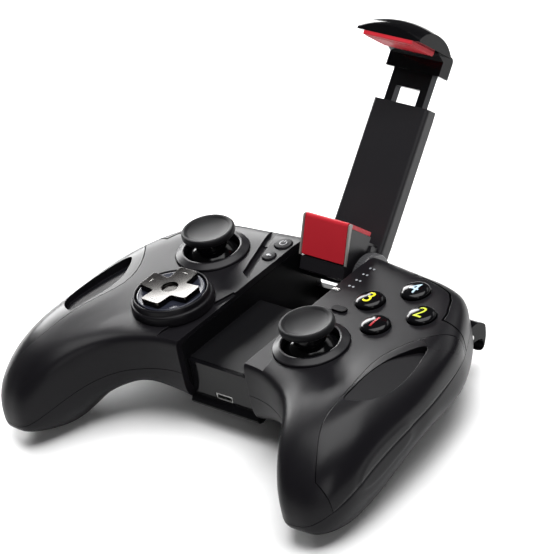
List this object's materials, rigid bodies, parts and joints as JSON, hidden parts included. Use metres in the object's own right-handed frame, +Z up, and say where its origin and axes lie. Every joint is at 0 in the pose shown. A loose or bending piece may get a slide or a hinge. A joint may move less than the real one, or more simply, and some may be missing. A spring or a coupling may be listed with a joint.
{
  "type": "gamepad",
  "caption": "Wireless handheld gamepad with thumbsticks, direction pad, face buttons, shoulder triggers and a folding phone clamp",
  "frame": {"origin": "on the floor, under the middle of the gamepad with its phone clamp raised", "axes": "+X to the player's right, +Y away from the player towards the triggers, +Z up out of the top plate"},
  "size_m": [0.1602, 0.1746, 0.1003],
  "materials": {
    "casing": "black moulded plastic with a fine satin grain",
    "grip_panel": "black satin panel, a little smoother than the casing",
    "channel": "dark matt plastic",
    "gloss_black": "polished black plastic",
    "stick_rubber": "dark grey soft-touch rubber",
    "bezel": "grey satin ring",
    "small_button": "dark grey satin",
    "dpad_disc": "polished blue-grey",
    "dpad_cross": "silver-grey gloss",
    "red_pad": "red moulded rubber",
    "rim": "light grey trim",
    "knob": "dark grey with a ribbed edge",
    "steel": "plain steel",
    "gimbal": "white bearing plastic",
    "board": "green circuit board",
    "battery": "plain wrapped cell",
    "switch": "plain switch bodies",
    "silicone": "pale silicone",
    "light": "clear light guides"
  },
  "bodies": {
    "casing": {"left_top_cover": "casing", "right_top_cover": "casing", "bottom_shell": "casing", "dpad_collar": "casing", "left_grip_panel": "grip_panel", "right_grip_panel": "grip_panel", "channel_tray": "channel", "dpad_post": "channel", "left_stick_base": "channel", "right_stick_base": "channel", "dock_cover": "gloss_black", "left_stick_bezel": "bezel", "right_stick_bezel": "bezel", "trigger_pins": "steel", "left_trigger_spring": "steel", "right_trigger_spring": "steel", "casing_screws": "steel", "hinge_pin": "steel", "hinge_plates": "steel", "detent_clip": "steel", "usb_socket": "steel", "main_board": "board", "charge_board": "board", "shoulder_boards": "board", "battery": "battery", "tact_switches": "switch", "button_mat": "silicone", "dpad_mat": "silicone", "light_guides": "light"},
    "clamp": {"clamp_arm": "gloss_black", "arm_cover": "gloss_black", "lower_pad": "red_pad", "foot_rims": "rim"},
    "jaw": {"upper_jaw": "gloss_black", "upper_pad": "red_pad", "jaw_rail": "steel"},
    "knob": {"tilt_knob": "knob"},
    "dpad_cradle": {"dpad_gimbal": "gimbal"},
    "dpad": {"dpad_disc": "dpad_disc", "dpad_cross": "dpad_cross"},
    "left_stick_click": {"left_stick_frame": "gimbal"},
    "left_stick_cradle": {"left_stick_bow": "gimbal"},
    "left_stick": {"left_stick_stem": "gloss_black", "left_stick_cap": "stick_rubber"},
    "right_stick_click": {"right_stick_frame": "gimbal"},
    "right_stick_cradle": {"right_stick_bow": "gimbal"},
    "right_stick": {"right_stick_stem": "gloss_black", "right_stick_cap": "stick_rubber"},
    "front_button": {"front_button": "gloss_black"},
    "right_button": {"right_button": "gloss_black"},
    "left_button": {"left_button": "gloss_black"},
    "back_button": {"back_button": "gloss_black"},
    "power_button": {"power_button": "small_button"},
    "home_button": {"home_button": "small_button"},
    "menu_button": {"menu_button": "small_button"},
    "left_bumper": {"left_bumper": "casing"},
    "left_trigger": {"left_trigger": "gloss_black"},
    "right_bumper": {"right_bumper": "casing"},
    "right_trigger": {"right_trigger": "gloss_black"}
  },
  "joints": [
    {"name": "clamp_fold", "type": "hinge", "parent": "casing", "child": "clamp", "pos_m": [0, 0.02276, 0.02568], "axis": [1, 0, 0], "range_deg": [-12, 134.8]},
    {"name": "jaw_slide", "type": "slide", "parent": "clamp", "child": "jaw", "axis": [0, 0.7034, 0.7108], "range_m": [-0.012, 0.018]},
    {"name": "knob_turn", "type": "hinge", "parent": "clamp", "child": "knob", "pos_m": [0.0132, 0.02276, 0.02568], "axis": [1, 0, 0], "continuous": true},
    {"name": "dpad_pitch", "type": "hinge", "parent": "casing", "child": "dpad_cradle", "pos_m": [-0.0325, -0.02994, 0.03698], "axis": [1, 0, 0], "range_deg": [-5, 5], "stiffness_Nm_per_rad": 0.12},
    {"name": "dpad_roll", "type": "hinge", "parent": "dpad_cradle", "child": "dpad", "pos_m": [-0.0325, -0.02994, 0.03698], "axis": [0, 1, 0], "range_deg": [-5, 5], "stiffness_Nm_per_rad": 0.12},
    {"name": "left_stick_press", "type": "slide", "parent": "casing", "child": "left_stick_click", "axis": [0, 0, -1], "range_m": [0, 0.0007], "stiffness_N_per_m": 4000},
    {"name": "left_stick_pitch", "type": "hinge", "parent": "left_stick_click", "child": "left_stick_cradle", "pos_m": [-0.0416, 0.00201, 0.02798], "axis": [1, 0, 0], "range_deg": [-16, 16], "stiffness_Nm_per_rad": 0.06},
    {"name": "left_stick_roll", "type": "hinge", "parent": "left_stick_cradle", "child": "left_stick", "pos_m": [-0.0416, 0.00201, 0.02798], "axis": [0, 1, 0], "range_deg": [-16, 16], "stiffness_Nm_per_rad": 0.06},
    {"name": "right_stick_press", "type": "slide", "parent": "casing", "child": "right_stick_click", "axis": [0, 0, -1], "range_m": [0, 0.0007], "stiffness_N_per_m": 4000},
    {"name": "right_stick_pitch", "type": "hinge", "parent": "right_stick_click", "child": "right_stick_cradle", "pos_m": [0.0312, -0.02974, 0.02798], "axis": [1, 0, 0], "range_deg": [-16, 16], "stiffness_Nm_per_rad": 0.06},
    {"name": "right_stick_roll", "type": "hinge", "parent": "right_stick_cradle", "child": "right_stick", "pos_m": [0.0312, -0.02974, 0.02798], "axis": [0, 1, 0], "range_deg": [-16, 16], "stiffness_Nm_per_rad": 0.06},
    {"name": "front_button_press", "type": "slide", "parent": "casing", "child": "front_button", "axis": [0, 0, -1], "range_m": [0, 0.0015], "stiffness_N_per_m": 500},
    {"name": "right_button_press", "type": "slide", "parent": "casing", "child": "right_button", "axis": [0, 0, -1], "range_m": [0, 0.0015], "stiffness_N_per_m": 500},
    {"name": "left_button_press", "type": "slide", "parent": "casing", "child": "left_button", "axis": [0, 0, -1], "range_m": [0, 0.0015], "stiffness_N_per_m": 500},
    {"name": "back_button_press", "type": "slide", "parent": "casing", "child": "back_button", "axis": [0, 0, -1], "range_m": [0, 0.0015], "stiffness_N_per_m": 500},
    {"name": "power_button_press", "type": "slide", "parent": "casing", "child": "power_button", "axis": [0, 0, -1], "range_m": [0, 0.0004], "stiffness_N_per_m": 2500},
    {"name": "home_button_press", "type": "slide", "parent": "casing", "child": "home_button", "axis": [0, 0, -1], "range_m": [0, 0.0004], "stiffness_N_per_m": 2500},
    {"name": "menu_button_press", "type": "slide", "parent": "casing", "child": "menu_button", "axis": [0, 0, -1], "range_m": [0, 0.0004], "stiffness_N_per_m": 2500},
    {"name": "left_bumper_press", "type": "slide", "parent": "casing", "child": "left_bumper", "axis": [0, -1, 0], "range_m": [0, 0.0005], "stiffness_N_per_m": 2000},
    {"name": "left_trigger_pull", "type": "hinge", "parent": "casing", "child": "left_trigger", "pos_m": [0, 0.01526, 0.01898], "axis": [-1, 0, 0], "range_deg": [0, 16], "stiffness_Nm_per_rad": 0.12},
    {"name": "right_bumper_press", "type": "slide", "parent": "casing", "child": "right_bumper", "axis": [0, -1, 0], "range_m": [0, 0.0005], "stiffness_N_per_m": 2000},
    {"name": "right_trigger_pull", "type": "hinge", "parent": "casing", "child": "right_trigger", "pos_m": [0, 0.01526, 0.01898], "axis": [-1, 0, 0], "range_deg": [0, 16], "stiffness_Nm_per_rad": 0.12}
  ]
}
